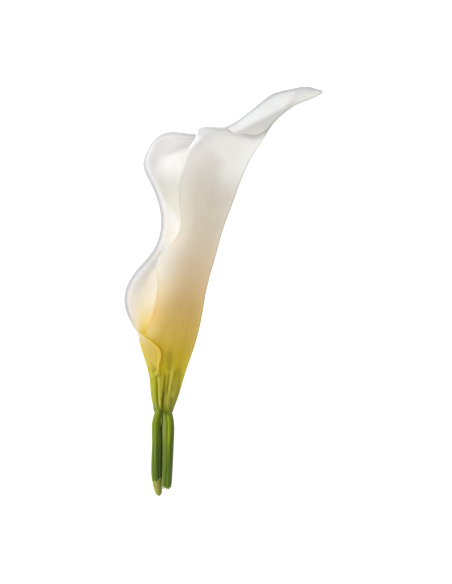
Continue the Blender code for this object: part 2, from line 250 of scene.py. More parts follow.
def strokes(x, y, lines):
    """The relief of these lines in millimetres, and their ridges and grooves as shares of 0 to 1."""
    relief = np.zeros(x.shape)
    ridge = np.zeros(x.shape)
    groove = np.zeros(x.shape)
    for line, half, height in lines:
        d, t, _ = near_line(x, y, line)
        stroke = np.exp(-((d / half) ** 2)) * np.clip(np.minimum(t, 1 - t) * 6 + 0.15, 0, 1)
        relief += height * stroke
        strength = min(1.0, abs(height) / 0.4)
        if height > 0:
            ridge = np.maximum(ridge, strength * stroke)
        else:
            groove = np.maximum(groove, strength * stroke)
    return relief, ridge, groove


# ---- the petal's middle surface ------------------------------------------------------------------------------
def petal_surface():
    """Points, quads and, for each point: place along the flower, share across the sheet, distance from the margin."""
    rows = []
    for section, (ur, ua), (lr, la) in zip(SECTIONS, UPPER_ROLL, LOWER_ROLL):
        (bx, by), slant, oval, upper, lower, dip, flare = section
        ua_th, ur_f, u_lift = seen_from(section, upper)
        lo_th, lr_f, l_lift = seen_from(section, lower)
        lo_th -= 0 if lo_th < -30 else 360
        rows.append((bx, by, slant, *oval, ua_th % 360, ur_f, u_lift, lo_th, lr_f, l_lift, *dip, flare, ur, ua, lr, la))
    rows = np.array(rows, float)
    steps = np.linalg.norm(np.diff(rows[:, :2], axis=0), axis=1)
    along = np.concatenate([[0], np.cumsum(steps)])
    index = np.concatenate([k + np.arange(steps_here) / steps_here for k, steps_here in enumerate(ROWS_PER_SECTION)] + [[len(rows) - 1]])
    n = len(index)
    at = np.interp(index, np.arange(len(rows)), along)
    loft = spline(along, rows, at)
    # the lip's roll keeps its size for half of this section, then dies out
    held = (index > 13) & (index < 14)
    loft[held, 16:18] = rows[13, 16:18] + (rows[14, 16:18] - rows[13, 16:18]) * ease(index[held], 13.4, 14.0)[:, None]

    grid = np.zeros((n, AROUND, 3))
    angle = np.zeros((n, AROUND))
    share = np.linspace(0, 1, AROUND)
    for i, row in enumerate(loft):
        bx, by, slant, a, up, down, cz, th_u, r_u, w_u, th_l, r_l, w_l, dip0, dip1, flare = row[:16]
        th = th_u + (th_l - th_u) * share
        opening = np.clip((th_l + flare - th) / flare, 0, 1) ** 2
        drawn = np.clip((th - dip0) / (dip1 - dip0), 0, 1)
        drawn = drawn * drawn * (3 - 2 * drawn)
        r = 1 + (r_l - 1) * opening + (r_u - 1) * drawn
        lift = w_l * opening + w_u * np.clip((th - dip0) / (th_u - dip0), 0, 1) ** 2
        s = math.radians(slant)
        c, k = np.cos(np.radians(th)), np.sin(np.radians(th))
        half = (up + down) / 2 + (up - down) / 2 * k
        out = a * r * c - a
        grid[i, :, 0] = bx + out * math.cos(s) + lift * math.sin(s)
        grid[i, :, 1] = by - out * math.sin(s) + lift * math.cos(s)
        grid[i, :, 2] = cz + half * r * k
        angle[i] = th

    number = np.arange(n * AROUND).reshape(n, AROUND)
    points = grid.reshape(-1, 3)
    i, j = np.meshgrid(np.arange(n - 1), np.arange(AROUND - 1), indexing="ij")
    quads = np.stack([number[i, j], number[i + 1, j], number[i + 1, j + 1], number[i, j + 1]], -1).reshape(-1, 4)
    row_of = np.repeat(index, AROUND)
    angle_of = angle.ravel()
    share_of = np.tile(share, n)

    def ring(k):
        tip = number[n - 1 - k, 1:-1]
        return np.concatenate([number[:, k], tip, number[::-1, AROUND - 1 - k]])

    edge = ring(0)
    at_edge = points[edge]
    run = unit(np.gradient(at_edge, axis=0))
    step = 4
    out = 3 * at_edge - 4 * points[ring(step)] + points[ring(2 * step)]
    passes = 48
    out = unit(blur(unit(out - (out * run).sum(1, keepdims=True) * run), passes))
    away = unit(blur(unit(np.cross(run, out)), passes))
    away = unit(away - (away * out).sum(1, keepdims=True) * out)
    across = AROUND - 2
    radius = np.concatenate([loft[:, 16], np.linspace(loft[-1, 16], loft[-1, 18], across), loft[::-1, 18]])
    turn = np.radians(np.concatenate([loft[:, 17], np.linspace(loft[-1, 17], loft[-1, 19], across), loft[::-1, 19]]))
    radius = np.maximum(radius, 0.6)
    turn = np.maximum(turn, math.radians(1))
    flat = 0.35 * np.clip(1 - turn / math.radians(30), 0, 1)
    last = edge
    roll_of = np.zeros(len(points))
    strips = [edge]
    for k in range(1, ROLL_STEPS + 1):
        w = turn * k / ROLL_STEPS
        x = radius * np.sin(w) + flat * k / ROLL_STEPS
        z = radius * (1 - np.cos(w))
        first = len(points)
        points = np.vstack([points, at_edge + out * x[:, None] + away * z[:, None]])
        new = np.arange(first, first + len(edge))
        quads = np.vstack([quads, np.stack([last[:-1], new[:-1], new[1:], last[1:]], -1)])
        row_of = np.concatenate([row_of, row_of[edge]])
        angle_of = np.concatenate([angle_of, angle_of[edge]])
        share_of = np.concatenate([share_of, share_of[edge]])
        roll_of = np.concatenate([roll_of, radius * w])
        strips.append(new)
        last = new
    # distance from the free edge, measured through the roll and then across the sheet
    rim = np.zeros(len(points))
    for k, strip in enumerate(strips):
        rim[strip] = radius * turn * (1 - k / ROLL_STEPS)
    whole = radius * turn
    upper_whole, lower_whole = whole[:n], whole[len(edge) - n :][::-1]
    gap = np.linalg.norm(np.diff(grid, axis=1), axis=2)
    from_upper = np.concatenate([np.zeros((n, 1)), np.cumsum(gap, axis=1)], axis=1)
    from_lower = from_upper[:, -1:] - from_upper
    to_tip = (at[-1] - at)[:, None]
    inner = np.minimum(np.minimum(from_upper + upper_whole[:, None], from_lower + lower_whole[:, None]), to_tip + 0.8)
    rim[: n * AROUND] = inner.ravel()
    # the roll meets the loft smoothly
    blend = np.zeros(len(points))
    for k in range(0, 9):
        blend[ring(k)] = np.maximum(blend[ring(k)], 1 - k / 9)
    for k, strip in enumerate(strips[1:], 1):
        blend[strip] = max(0.0, 1 - k / 5)
    border = np.zeros(len(points), bool)
    border[strips[-1]] = True
    border[number[0]] = True
    for strip in strips:
        border[[strip[0], strip[-1]]] = True
    blend[border] = 0
    points = relax(points, quads, blend, 12)
    return points, quads, row_of, angle_of, share_of, rim, roll_of


def petal_mesh():
    points, quads, row_of, angle_of, share_of, rim, roll_of = petal_surface()
    normals = vertex_normals(points, quads)
    back = np.argmin(np.abs(angle_of) + 50 * np.abs(row_of - 8) + 1e4 * (roll_of > 0))
    if normals[back, 0] < 0:
        quads = quads[:, ::-1]
        normals = -normals
    x, y = points[:, 0].copy(), points[:, 1].copy()
    far = ease(share_of, 0.5, 0.6)
    near = 1 - far
    on_top = ease(normals[:, 2], -0.05, 0.45)
    at_base = ease(y, -20, -32)

    # gathers and the crumple on the upper side of the base, plain pleats round the rest of it; their ridges get a
    # painted highlight and their grooves painted shade
    relief, ridge, groove = strokes(x, y, GATHERS)
    crumpled, ridge_highlight, crease_shade = strokes(x, y, CRUMPLE)
    ridge, groove = np.maximum(ridge, ridge_highlight), np.maximum(groove, crease_shade)
    turn = np.radians(angle_of)
    pleats = 0.6 * np.sin(11 * turn + 0.05 * y + 1.0) + 0.4 * np.sin(17 * turn - 0.07 * y)
    elsewhere = (1 - on_top) * ease(y, -26, -44)
    outward = (1.35 * relief + crumpled) * on_top + 0.28 * pleats * elsewhere
    ridge = ridge * on_top + np.clip(pleats, 0, 1) * elsewhere * 0.8
    groove = groove * on_top + np.clip(-pleats, 0, 1) * elsewhere * 0.9

    # the far wall's fold, with painted shade on the flared margin beyond it and just outside it; the brow of the limb,
    # with painted shade on its half below
    d, t, side = near_line(x, y, FOLD_LINE)
    # painted shade: the flared margin beyond the fold, greyer where it turns outward away from the light
    margin_shade = ease(-side * d, -1.1, 1.1) * far * ease(y, -15, -9)
    crease = np.exp(-((d / 1.3) ** 2)) * far * ease(y, -8, 0) * ease(rim, 1, 4)
    outward -= 0.22 * crease * (1 - 0.8 * np.exp(-((np.hypot(x + 30.5, y - 52.0) / 7.0) ** 2)))
    # painted shade: a grey strip just outside the fold on the top lobe
    fold = np.exp(-(((-side * d - 1.4) / 1.5) ** 2)) * far * ease(y, 44, 52) * ease(x, -30, -22)
    d, t, side = near_line(x, y, CREST)
    crest = np.exp(-((d / 0.5) ** 2)) * near * ease(row_of, 11.8, 12.5) * ease(row_of, 15.5, 14.5)
    d, t, side = near_line(x, y, BROW)
    in_limb = ease(row_of, 13.4, 14.6)
    below = ease(-side * d, -0.7, 1.1) * in_limb
    # painted shade on the limb's half below the brow, strongest away from the tip and beside the lip
    limb_shade = below * (0.35 + 0.65 * ease(x, 31, 25)) * (0.75 + 0.25 * np.exp(-((np.hypot(x - 9.0, y - 66.6) / 4.0) ** 2)))
    outward += 0.25 * np.exp(-(((-side * d - 1.2) / 1.4) ** 2)) * in_limb * ease(rim, 0.5, 2.5)

    # veins that run the length of the sheet, and a slow unevenness
    veins = np.sin(34 * turn + 1.3 * np.sin(y / 17)) + 0.7 * np.sin(55 * turn + 2.0 + 1.1 * np.sin(y / 23 + 1))
    fine = np.clip(ease(y, -30, -10) * ease(rim, 1.5, 6), 0, 1)
    outward += 0.016 * veins * fine
    outward += 0.13 * waves(points, 26.0, 3) * ease(rim, 0, 6) * ease(y, -45, -25)
    points = points + normals * outward[:, None]
    # the wavy free edge of the lobes and the limb
    flutter = ease(rim, 4, 0) * far * ease(y, 5, 20) * ease(y, 84, 78)
    points = points + normals * (0.22 * np.sin(y / 2.9) * flutter)[:, None]

    # the limb draws in to a point
    tip = ease(row_of, 20.2, 21.0)[:, None]
    centre = np.stack([np.interp(row_of, (19, 20, 21), v) for v in ((29.7, 35.0, 41.4), (82.2, 83.6, 84.0), (3.6, 2.8, 1.9))], -1)
    points = points + (centre - points) * tip * np.array([0.2, 0.4, 0.3])

    # the corner where the lip starts, and the scalloped end on the stalk
    for (cx, cy), reach, move in LIP_MOVES:
        pull = np.exp(-((np.hypot(points[:, 0] - cx, points[:, 1] - cy) / reach) ** 2)) * near * ease(row_of, 11.2, 12.0)
        points = points + pull[:, None] * np.array(move)
    end = ease(row_of, 1.1, 0.0)
    scallop = 1.3 * np.exp(-(((x + 27.3) / 0.8) ** 2)) - 1.1 * np.exp(-(((x + 24.8) / 1.4) ** 2)) + 0.7 * np.exp(-(((x + 29.6) / 0.9) ** 2))
    points[:, 1] += end * scallop * on_top
    points[:, 0] += ease(row_of, 1.5, 0.0) * np.where(x < -26, 0.6 * ease(x, -26, -30), -0.35 * ease(x, -26, -22))
    points = points + SHIFT

    # paint: painted light on the wall beside the near margin and on the paler back, painted shade on the drawn outline
    # of the margins and down the back's outline
    reach = 8.0 + 7.5 * np.exp(-(((y - 9) / 11) ** 2))
    lit = ease(rim, reach, 0.5) * near * ease(y, -26, -16) * ease(y, 66, 30)
    fair = far * ease(y, -19, -9)
    # painted light: the thin margin of the lower lobe made whiter, as if lit through from behind
    lobe_light = far * ease(rim, 10, 4) * ease(y, -22, -15) * ease(y, 4, -5)
    green = np.exp(-(((x + 30.2) / 0.9) ** 2)) * ease(y, -33, -36) * ease(y, -48, -44) * on_top
    # painted highlight: a thin lighter line along the curled far margin, just inside its edge
    rim_highlight = np.exp(-(((rim - 1.9) / 0.35) ** 2)) * far * ease(y, -6, 4) * ease(y, 70, 60)
    # painted light: the near wall's upper back made paler where it gets more light near the lip
    paler = ease(angle_of - 24 * ease(y, 52, 62), 70, 48) * ease(y, 36, 52) * near
    margin = ease(rim, 1.5, 0.85)
    # painted shade: a grey line along the margins' outline where the curled edges turn away from the light, and along
    # the lip's crest
    drawn = np.where(share_of > 0.5, ease(y, -16, -8), 0.65 * ease(row_of, 13.72, 13.95) * (1 - 0.4 * ease(row_of, 14.2, 15.2)))
    drawn = np.maximum(drawn * margin, 0.8 * crest)
    # painted shade: a grey line down the back, outside only, where it makes the outline
    wide = 24 - 5 * ease(row_of, 11.5, 14.5)
    back_edge_shade = ease(np.abs(angle_of + 1), wide, wide / 2) * (0.45 * ease(y, -50, -44) + 0.55 * ease(y, -40, -20)) * ease(rim, 0.3, 1.2) * (1 - 0.2 * ease(row_of, 12, 15))
    lip_band = ease(x, -10.5, -7.0) * near * ease(row_of, 12.3, 13.0)
    lap = far * ease(y, -10, -18) * ease(y, -36, -30) * on_top
    thin = lap * ease(rim, 0.9, 0.2)
    # painted highlight: a white spot on the throat's far wall where it faces the light
    throat_highlight = np.exp(-((np.hypot(x + 22.5, (y - 55.0) * 0.9) / 5.6) ** 2)) * far
    # painted light: a yellow glow deep in the funnel's pocket
    glow = np.exp(-((np.hypot((x + 30.2) * 1.3, (y + 13.0) * 0.7) / 3.0) ** 2))
    # painted highlight: the near margin's roll and the ridge below the lip's corner made near white
    roll_highlight = ease(roll_of, 0.2, 1.2) * near * ease(row_of, 10.2, 12.0)

    thick = 0.42 + 0.40 * ease(y, 10, -45) - 0.16 * ease(rim, 2.5, 0)
    outer = points + normals * (thick / 2)[:, None]
    inner = points - normals * (thick / 2)[:, None]

    # close the border
    total = len(points)
    pairs = np.concatenate([quads[:, [0, 1]], quads[:, [1, 2]], quads[:, [2, 3]], quads[:, [3, 0]]])
    key = np.sort(pairs, axis=1)
    _, first, count = np.unique(key, axis=0, return_index=True, return_counts=True)
    border = pairs[first[count == 1]]
    edge_points = np.unique(border)
    centre = np.zeros_like(points)
    seen = np.zeros(len(points))
    face_centre = points[quads].mean(axis=1)
    for k in range(4):
        np.add.at(centre, quads[:, k], face_centre)
        np.add.at(seen, quads[:, k], 1)
    away = points - centre / seen[:, None]
    away = unit(away - (away * normals).sum(1, keepdims=True) * normals)
    lip = np.full(total, -1)
    lip[edge_points] = 2 * total + np.arange(len(edge_points))
    lip_points = points[edge_points] + away[edge_points] * (thick[edge_points] * 0.42)[:, None]
    all_points = np.vstack([outer, inner, lip_points])
    faces = np.vstack(
        [
            quads,
            quads[:, ::-1] + total,
            np.stack([border[:, 1], border[:, 0], lip[border[:, 0]], lip[border[:, 1]]], -1),
            np.stack([lip[border[:, 1]], lip[border[:, 0]], border[:, 0] + total, border[:, 1] + total], -1),
        ]
    )
    pick = np.concatenate([np.arange(total), np.arange(total), edge_points])
    inside = np.concatenate([np.zeros(total), np.ones(total), np.full(len(edge_points), 0.5)])
    fields = {
        "along": y[pick],
        "rim": rim[pick],
        "inside": inside,
        "around": angle_of[pick],
        "ridge": ridge[pick],
        "groove": groove[pick],
        "margin_shade": margin_shade[pick],
        "limb_shade": limb_shade[pick] * np.where(inside > 0.4, 1.0, ease(row_of[pick], 14.6, 15.2)),
        "fold": fold[pick],
        "lit": lit[pick],
        "fair": fair[pick],
        "green": green[pick],
        "lip_band": lip_band[pick],
        "lobe_light": lobe_light[pick],
        "rim_highlight": rim_highlight[pick],
        "paler": paler[pick],
        "drawn": drawn[pick],
        "back_edge_shade": back_edge_shade[pick] * (inside < 0.4),
        "calm": 1 - 0.8 * lit[pick],
        "lap": lap[pick],
        "thin": thin[pick],
        "throat_highlight": throat_highlight[pick],
        "glow": glow[pick],
        "roll_highlight": roll_highlight[pick],
    }
    return all_points, faces, fields


def mesh_object(name, points, faces, fields, smooth=True):
    """A mesh object from points in millimetres, with its fields as attributes."""
    data = bpy.data.meshes.new(name)
    data.from_pydata([tuple(p) for p in (points * MM).tolist()], [], [list(f) for f in faces])
    data.validate()
    for label, values in fields.items():
        layer = data.attributes.new(label, "FLOAT", "POINT")
        layer.data.foreach_set("value", np.asarray(values, np.float32))
    if smooth:
        data.shade_smooth()
    piece = bpy.data.objects.new(name, data)
    bpy.context.scene.collection.objects.link(piece)
    return piece


# ---- materials -----------------------------------------------------------------------------------------------
def tree_of(name):
    m = bpy.data.materials.new(name)
    m.use_nodes = True
    m.node_tree.nodes.clear()
    return m, m.node_tree


def node(tree, kind, **settings):
    made = tree.nodes.new(kind)
    for key, value in settings.items():
        if key in made.inputs:
            made.inputs[key].default_value = value
        else:
            setattr(made, key, value)
    return made


def attribute(tree, name):
    return node(tree, "ShaderNodeAttribute", attribute_name=name).outputs["Fac"]


def remap(tree, value, lo, hi, to_lo=0.0, to_hi=1.0):
    n = node(tree, "ShaderNodeMapRange", clamp=True)
    tree.links.new(value, n.inputs["Value"])
    n.inputs["From Min"].default_value, n.inputs["From Max"].default_value = lo, hi
    n.inputs["To Min"].default_value, n.inputs["To Max"].default_value = to_lo, to_hi
    return n.outputs["Result"]


def srgb(r, g, b):
    return tuple(c / 12.92 if c <= 0.04045 else ((c + 0.055) / 1.055) ** 2.4 for c in (r / 255, g / 255, b / 255)) + (1.0,)


def ramp(tree, value, stops):
    """A colour ramp over stops of (place 0..1, colour)."""
    n = node(tree, "ShaderNodeValToRGB")
    elements = n.color_ramp.elements
    elements.remove(elements[-1])
    for k, (at, colour) in enumerate(stops):
        e = elements[0] if k == 0 else elements.new(at)
        e.position, e.color = at, colour
    tree.links.new(value, n.inputs["Fac"])
    return n.outputs["Color"]


def mix(tree, fac, a, b, blend="MIX"):
    n = node(tree, "ShaderNodeMix", data_type="RGBA", blend_type=blend)
    ins = {s.identifier: s for s in n.inputs}
    for key, value in (("Factor_Float", fac), ("A_Color", a), ("B_Color", b)):
        if isinstance(value, bpy.types.NodeSocket):
            tree.links.new(value, ins[key])
        else:
            ins[key].default_value = value
    return next(s for s in n.outputs if s.identifier == "Result_Color")


def times(tree, value, factor):
    n = node(tree, "ShaderNodeMath", operation="MULTIPLY")
    tree.links.new(value, n.inputs[0])
    if isinstance(factor, bpy.types.NodeSocket):
        tree.links.new(factor, n.inputs[1])
    else:
        n.inputs[1].default_value = factor
    return n.outputs[0]


def plus(tree, a, b):
    n = node(tree, "ShaderNodeMath", operation="ADD")
    tree.links.new(a, n.inputs[0])
    tree.links.new(b, n.inputs[1])
    return n.outputs[0]


def streaks(tree, around_step, along_step, detail=3.0, seed=0.0):
    """Noise drawn out along the growth, from the piece's own around (degrees) and along (millimetres) fields."""
    join = node(tree, "ShaderNodeCombineXYZ")
    tree.links.new(times(tree, attribute(tree, "around"), 1 / around_step), join.inputs[0])
    tree.links.new(times(tree, attribute(tree, "along"), 1 / along_step), join.inputs[1])
    join.inputs[2].default_value = seed
    noise = node(tree, "ShaderNodeTexNoise", Scale=1.0, Detail=detail, Roughness=0.55)
    tree.links.new(join.outputs[0], noise.inputs["Vector"])
    return noise.outputs["Fac"]


def mottle(tree, size, detail=3.0):
    """Even noise in the object's own space, with features of this size in millimetres."""
    place_of = node(tree, "ShaderNodeTexCoord").outputs["Object"]
    noise = node(tree, "ShaderNodeTexNoise", Scale=1000.0 / size, Detail=detail, Roughness=0.6)
    tree.links.new(place_of, noise.inputs["Vector"])
    return noise.outputs["Fac"]


def bump(tree, height, distance, strength, below=None):
    n = node(tree, "ShaderNodeBump", Strength=strength, Distance=distance)
    tree.links.new(height, n.inputs["Height"])
    if below is not None:
        tree.links.new(below, n.inputs["Normal"])
    return n.outputs["Normal"]


LOW_Y, HIGH_Y = -55.0, 90.0


def place(y):
    return (y - LOW_Y) / (HIGH_Y - LOW_Y)


def y_ramp(tree, value, stops):
    return ramp(tree, value, [(place(y), srgb(*colour)) for y, colour in stops])


def petal_material():
    m, t = tree_of("petal")
    y01 = remap(t, attribute(t, "along"), LOW_Y, HIGH_Y)
    # the outside: off-white at the rim, yellow then green at the base; its tan through the middle is partly the sheet's
    # own colour and partly painted shade of the doubled wall
    outside = y_ramp(
        t,
        y01,
        (
            (-50, (146, 162, 12)),
            (-46, (182, 190, 10)),
            (-42, (200, 200, 12)),
            (-37, (226, 216, 30)),
            (-31, (238, 228, 58)),
            (-24, (232, 214, 84)),
            (-17, (232, 213, 118)),
            (-8, (235, 211, 146)),
            (2, (238, 216, 176)),
            (12, (238, 224, 198)),
            (26, (236, 228, 214)),
            (46, (236, 231, 222)),
            (64, (245, 244, 242)),
        ),
    )
    inside = y_ramp(
        t,
        y01,
        (
            (-40, (235, 215, 60)),
            (-24, (255, 244, 146)),
            (-15, (255, 251, 206)),
            (-7, (252, 250, 238)),
            (0, (252, 252, 251)),
            (8, (253, 254, 255)),
            (14, (250, 250, 248)),
            (30, (247, 246, 240)),
            (46, (239, 239, 236)),
            (58, (245, 245, 245)),
            (70, (243, 244, 244)),
        ),
    )
    side = remap(t, attribute(t, "inside"), 0.3, 0.7)
    lit = y_ramp(
        t,
        y01,
        (
            (-18, (255, 246, 180)),
            (-9, (254, 229, 164)),
            (0, (255, 243, 211)),
            (8, (255, 252, 242)),
            (15, (255, 255, 253)),
            (20, (254, 248, 236)),
            (26, (248, 243, 233)),
            (33, (243, 239, 228)),
            (50, (247, 245, 241)),
        ),
    )
    colour = mix(t, attribute(t, "lit"), outside, lit)
    colour = mix(t, times(t, attribute(t, "fair"), 0.9), colour, inside)
    # painted light on the near wall's upper back
    colour = mix(t, attribute(t, "paler"), colour, srgb(254, 254, 251))
    lap = y_ramp(t, y01, ((-36, (218, 214, 40)), (-33, (232, 222, 66)), (-30, (252, 238, 114)), (-23, (250, 234, 142)), (-17, (242, 232, 198))))
    colour = mix(t, times(t, attribute(t, "lap"), 0.85), colour, lap)
    colour = mix(t, side, colour, inside)
    # the flared margin: painted shade where it turns outward away from the light, greyish white on the top lobe and
    # faintly lilac on the lower lobe; clean white in the waist
    flared = y_ramp(t, y01, ((-12, (252, 249, 236)), (-3, (244, 243, 241)), (2, (243, 243, 243)), (8, (241, 242, 246)), (13, (238, 242, 246)), (18, (247, 250, 254)), (22, (254, 255, 255)), (38, (252, 253, 254)), (47, (231, 231, 231)), (56, (233, 233, 233)), (70, (240, 240, 240))))
    colour = mix(t, attribute(t, "margin_shade"), colour, flared)
    # painted light on the lower lobe's thin margin, as if lit through from behind
    colour = mix(t, times(t, attribute(t, "lobe_light"), 0.85), colour, srgb(253, 252, 252))
    # painted highlight: a thin lighter line along the curled far margin
    colour = mix(t, times(t, attribute(t, "rim_highlight"), 0.8), colour, srgb(252, 253, 253))
    # painted highlight on the throat
    colour = mix(t, times(t, attribute(t, "throat_highlight"), 0.8), colour, srgb(253, 253, 252))
    # painted shade just outside the fold
    colour = mix(t, times(t, attribute(t, "fold"), 0.35), colour, srgb(214, 213, 212))
    # painted shade on the limb's lower half
    colour = mix(t, times(t, attribute(t, "limb_shade"), 0.95), colour, srgb(216, 214, 209))
    # painted highlight on the near margin's roll and on the lip
    colour = mix(t, times(t, attribute(t, "roll_highlight"), 0.95), colour, srgb(255, 254, 255))
    colour = mix(t, times(t, attribute(t, "roll_highlight"), times(t, attribute(t, "lip_band"), 0.9)), colour, srgb(252, 252, 250))
    # painted light: a yellow glow in the funnel's pocket
    colour = mix(t, times(t, attribute(t, "glow"), times(t, side, 0.5)), colour, srgb(252, 218, 110))
    # gathers at the base: a green strip of the sheet's own colour, a painted highlight on the ridges, painted shade in
    # the grooves
    colour = mix(t, times(t, attribute(t, "green"), 0.7), colour, srgb(209, 218, 12))
    colour = mix(t, times(t, attribute(t, "ridge"), 0.92), colour, srgb(255, 251, 126))
    colour = mix(t, times(t, attribute(t, "groove"), 0.85), colour, srgb(134, 132, 4))
    # veins and a soft unevenness of tone
    vein = streaks(t, 2.4, 60.0)
    tone = y_ramp(t, y01, ((-50, (214, 218, 196)), (-20, (236, 230, 206)), (20, (246, 242, 234)), (70, (248, 248, 247))))
    calm = attribute(t, "calm")
    colour = mix(t, times(t, remap(t, vein, 0.45, 0.75, 0.0, 0.4), calm), colour, tone, "MULTIPLY")
    blotch = mottle(t, 9.0, 2.0)
    colour = mix(t, times(t, remap(t, blotch, 0.45, 0.8, 0.0, 0.35), calm), colour, srgb(245, 240, 235), "MULTIPLY")
    colour = mix(t, attribute(t, "thin"), colour, srgb(255, 240, 116))
    # painted shade along the margins' outline
    colour = mix(t, attribute(t, "drawn"), colour, srgb(223, 223, 225))
    # painted shade down the back's outline, bluish grey
    colour = mix(t, times(t, attribute(t, "back_edge_shade"), 0.75), colour, y_ramp(t, y01, ((-48, (186, 184, 255)), (-34, (196, 196, 255)), (-16, (226, 227, 232)))), "MULTIPLY")

    rough = remap(t, mottle(t, 2.0), 0.3, 0.7, 0.38, 0.52)
    normal = bump(t, vein, 0.00012, 0.35)
    normal = bump(t, mottle(t, 0.6, 2.0), 0.00004, 0.25, normal)
    shader = node(t, "ShaderNodeBsdfPrincipled")
    shader.inputs["Specular IOR Level"].default_value = 0.3
    t.links.new(rough, shader.inputs["Roughness"])
    t.links.new(normal, shader.inputs["Normal"])
    t.links.new(colour, shader.inputs["Base Color"])
    through = node(t, "ShaderNodeBsdfTranslucent")
    t.links.new(colour, through.inputs["Color"])
    both = node(t, "ShaderNodeMixShader")
    both.inputs[0].default_value = 0.55
    t.links.new(shader.outputs[0], both.inputs[1])
    t.links.new(through.outputs[0], both.inputs[2])
    out = node(t, "ShaderNodeOutputMaterial")
    t.links.new(both.outputs[0], out.inputs["Surface"])
    return m


def surface(m, t, colour, rough, normal, specular=0.4, soft=0.0):
    """A Principled surface, a little soft below the skin."""
    shader = node(t, "ShaderNodeBsdfPrincipled")
    shader.inputs["Specular IOR Level"].default_value = specular
    shader.inputs["Subsurface Weight"].default_value = soft
    shader.inputs["Subsurface Radius"].default_value = (1.0, 0.7, 0.25)
    shader.inputs["Subsurface Scale"].default_value = 0.0008
    for value, socket in ((colour, "Base Color"), (rough, "Roughness"), (normal, "Normal")):
        t.links.new(value, shader.inputs[socket])
    result = shader.outputs[0]
    out = node(t, "ShaderNodeOutputMaterial")
    t.links.new(result, out.inputs["Surface"])
    return m


def stalk_material():
    m, t = tree_of("stalk_green")
    y01 = remap(t, attribute(t, "along"), -86.0, -44.0)
    colour = ramp(
        t,
        y01,
        [
            (0.00, srgb(92, 124, 40)),
            (0.45, srgb(94, 124, 20)),
            (0.75, srgb(130, 150, 10)),
            (1.00, srgb(156, 168, 14)),
        ],
    )
    fibre = streaks(t, 9.0, 26.0, 4.0, 2.0)
    colour = mix(t, remap(t, fibre, 0.5, 0.8), colour, srgb(170, 184, 52))
    colour = mix(t, remap(t, fibre, 0.5, 0.28), colour, srgb(52, 74, 4))
    # painted highlight on the ridges and painted light on the lit side; painted shade in the rib grooves and on the
    # shaded side
    colour = mix(t, times(t, attribute(t, "ridge"), 0.75), colour, srgb(190, 200, 36))
    colour = mix(t, times(t, attribute(t, "painted_light_side"), 0.85), colour, srgb(190, 202, 124))
    colour = mix(t, times(t, attribute(t, "groove"), 0.85), colour, srgb(34, 48, 2))
    colour = mix(t, times(t, attribute(t, "bare"), 0.85), colour, srgb(192, 190, 92))
    colour = mix(t, times(t, attribute(t, "shade"), 0.92), colour, srgb(44, 58, 6))
    colour = mix(t, attribute(t, "cut"), colour, srgb(214, 216, 176))
    rough = remap(t, mottle(t, 1.4), 0.3, 0.7, 0.34, 0.52)
    normal = bump(t, streaks(t, 5.0, 14.0, 4.0, 5.0), 0.0002, 0.5)
    return surface(m, t, colour, rough, normal, 0.2, 0.15)


def spadix_material():
    m, t = tree_of("spadix_yellow")
    colour = mix(t, attribute(t, "ridge"), srgb(206, 138, 20), srgb(250, 206, 66))
    colour = mix(t, remap(t, mottle(t, 2.2), 0.5, 0.7, 0.0, 0.6), colour, srgb(252, 226, 120))
    colour = mix(t, remap(t, attribute(t, "along"), -30.0, -44.0), colour, srgb(214, 210, 110))
    rough = remap(t, mottle(t, 0.7), 0.3, 0.7, 0.6, 0.85)
    normal = bump(t, mottle(t, 0.25, 4.0), 0.00005, 0.5)
    return surface(m, t, colour, rough, normal, 0.25, 0.2)


# ---- the flower ----------------------------------------------------------------------------------------------
points, faces, fields = petal_mesh()
petal = mesh_object("petal", points, faces, fields)
petal.data.materials.append(petal_material())
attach(petal, "root")
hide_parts("spathe")


# ---- the cut stalk and the spadix ----------------------------------------------------------------------------
#   x, y, z, half width, half height
STRAND_LEFT = (
    (-27.5, -44.8, 9.5, 2.0, 2.9), (-27.6, -49.0, 8.6, 2.0, 2.8), (-28.6, -53.2, 7.4, 2.15, 2.1), (-28.8, -62.0, 5.4, 2.35, 2.2),
    (-29.0, -71.0, 3.6, 2.4, 2.25), (-29.0, -77.0, 2.5, 2.35, 2.1), (-28.9, -79.2, 2.2, 2.25, 1.8), (-28.7, -81.6, 1.7, 2.0, 1.3),
    (-28.4, -83.6, 1.2, 1.6, 0.95), (-28.2, -84.9, 0.9, 1.1, 0.6), (-28.1, -85.5, 0.75, 0.5, 0.25),
)  # fmt: skip
STRAND_RIGHT = (
    (-25.1, -44.8, 9.5, 2.2, 2.9), (-25.0, -49.0, 8.6, 2.2, 2.8), (-24.35, -53.2, 7.5, 2.35, 2.2), (-24.3, -62.0, 5.5, 2.45, 2.3),
    (-24.6, -71.0, 3.6, 2.4, 2.3), (-24.85, -77.0, 2.6, 2.3, 2.2), (-25.0, -80.0, 2.3, 2.2, 2.0), (-25.1, -82.0, 2.1, 2.0, 1.7),
)  # fmt: skip
SPLINTER = ((-27.5, -49.6, 10.0, 0.45, 0.4), (-27.2, -52.5, 9.3, 0.4, 0.35), (-26.9, -55.6, 8.3, 0.12, 0.12))
ROD = (
    (-24.9, -43.9, 9.3, 2.2, 2.2), (-24.9, -42.5, 9.6, 2.5, 2.5), (-24.6, -34.0, 11.1, 2.7, 2.7), (-23.7, -22.0, 13.2, 3.0, 3.0),
    (-22.4, -8.0, 15.3, 3.1, 3.1), (-20.6, 4.0, 16.9, 3.0, 3.0), (-18.2, 14.0, 18.2, 2.8, 2.8), (-16.4, 20.5, 19.0, 2.4, 2.4),
    (-15.9, 22.6, 19.3, 1.7, 1.7), (-15.7, 23.5, 19.4, 0.6, 0.6),
)  # fmt: skip


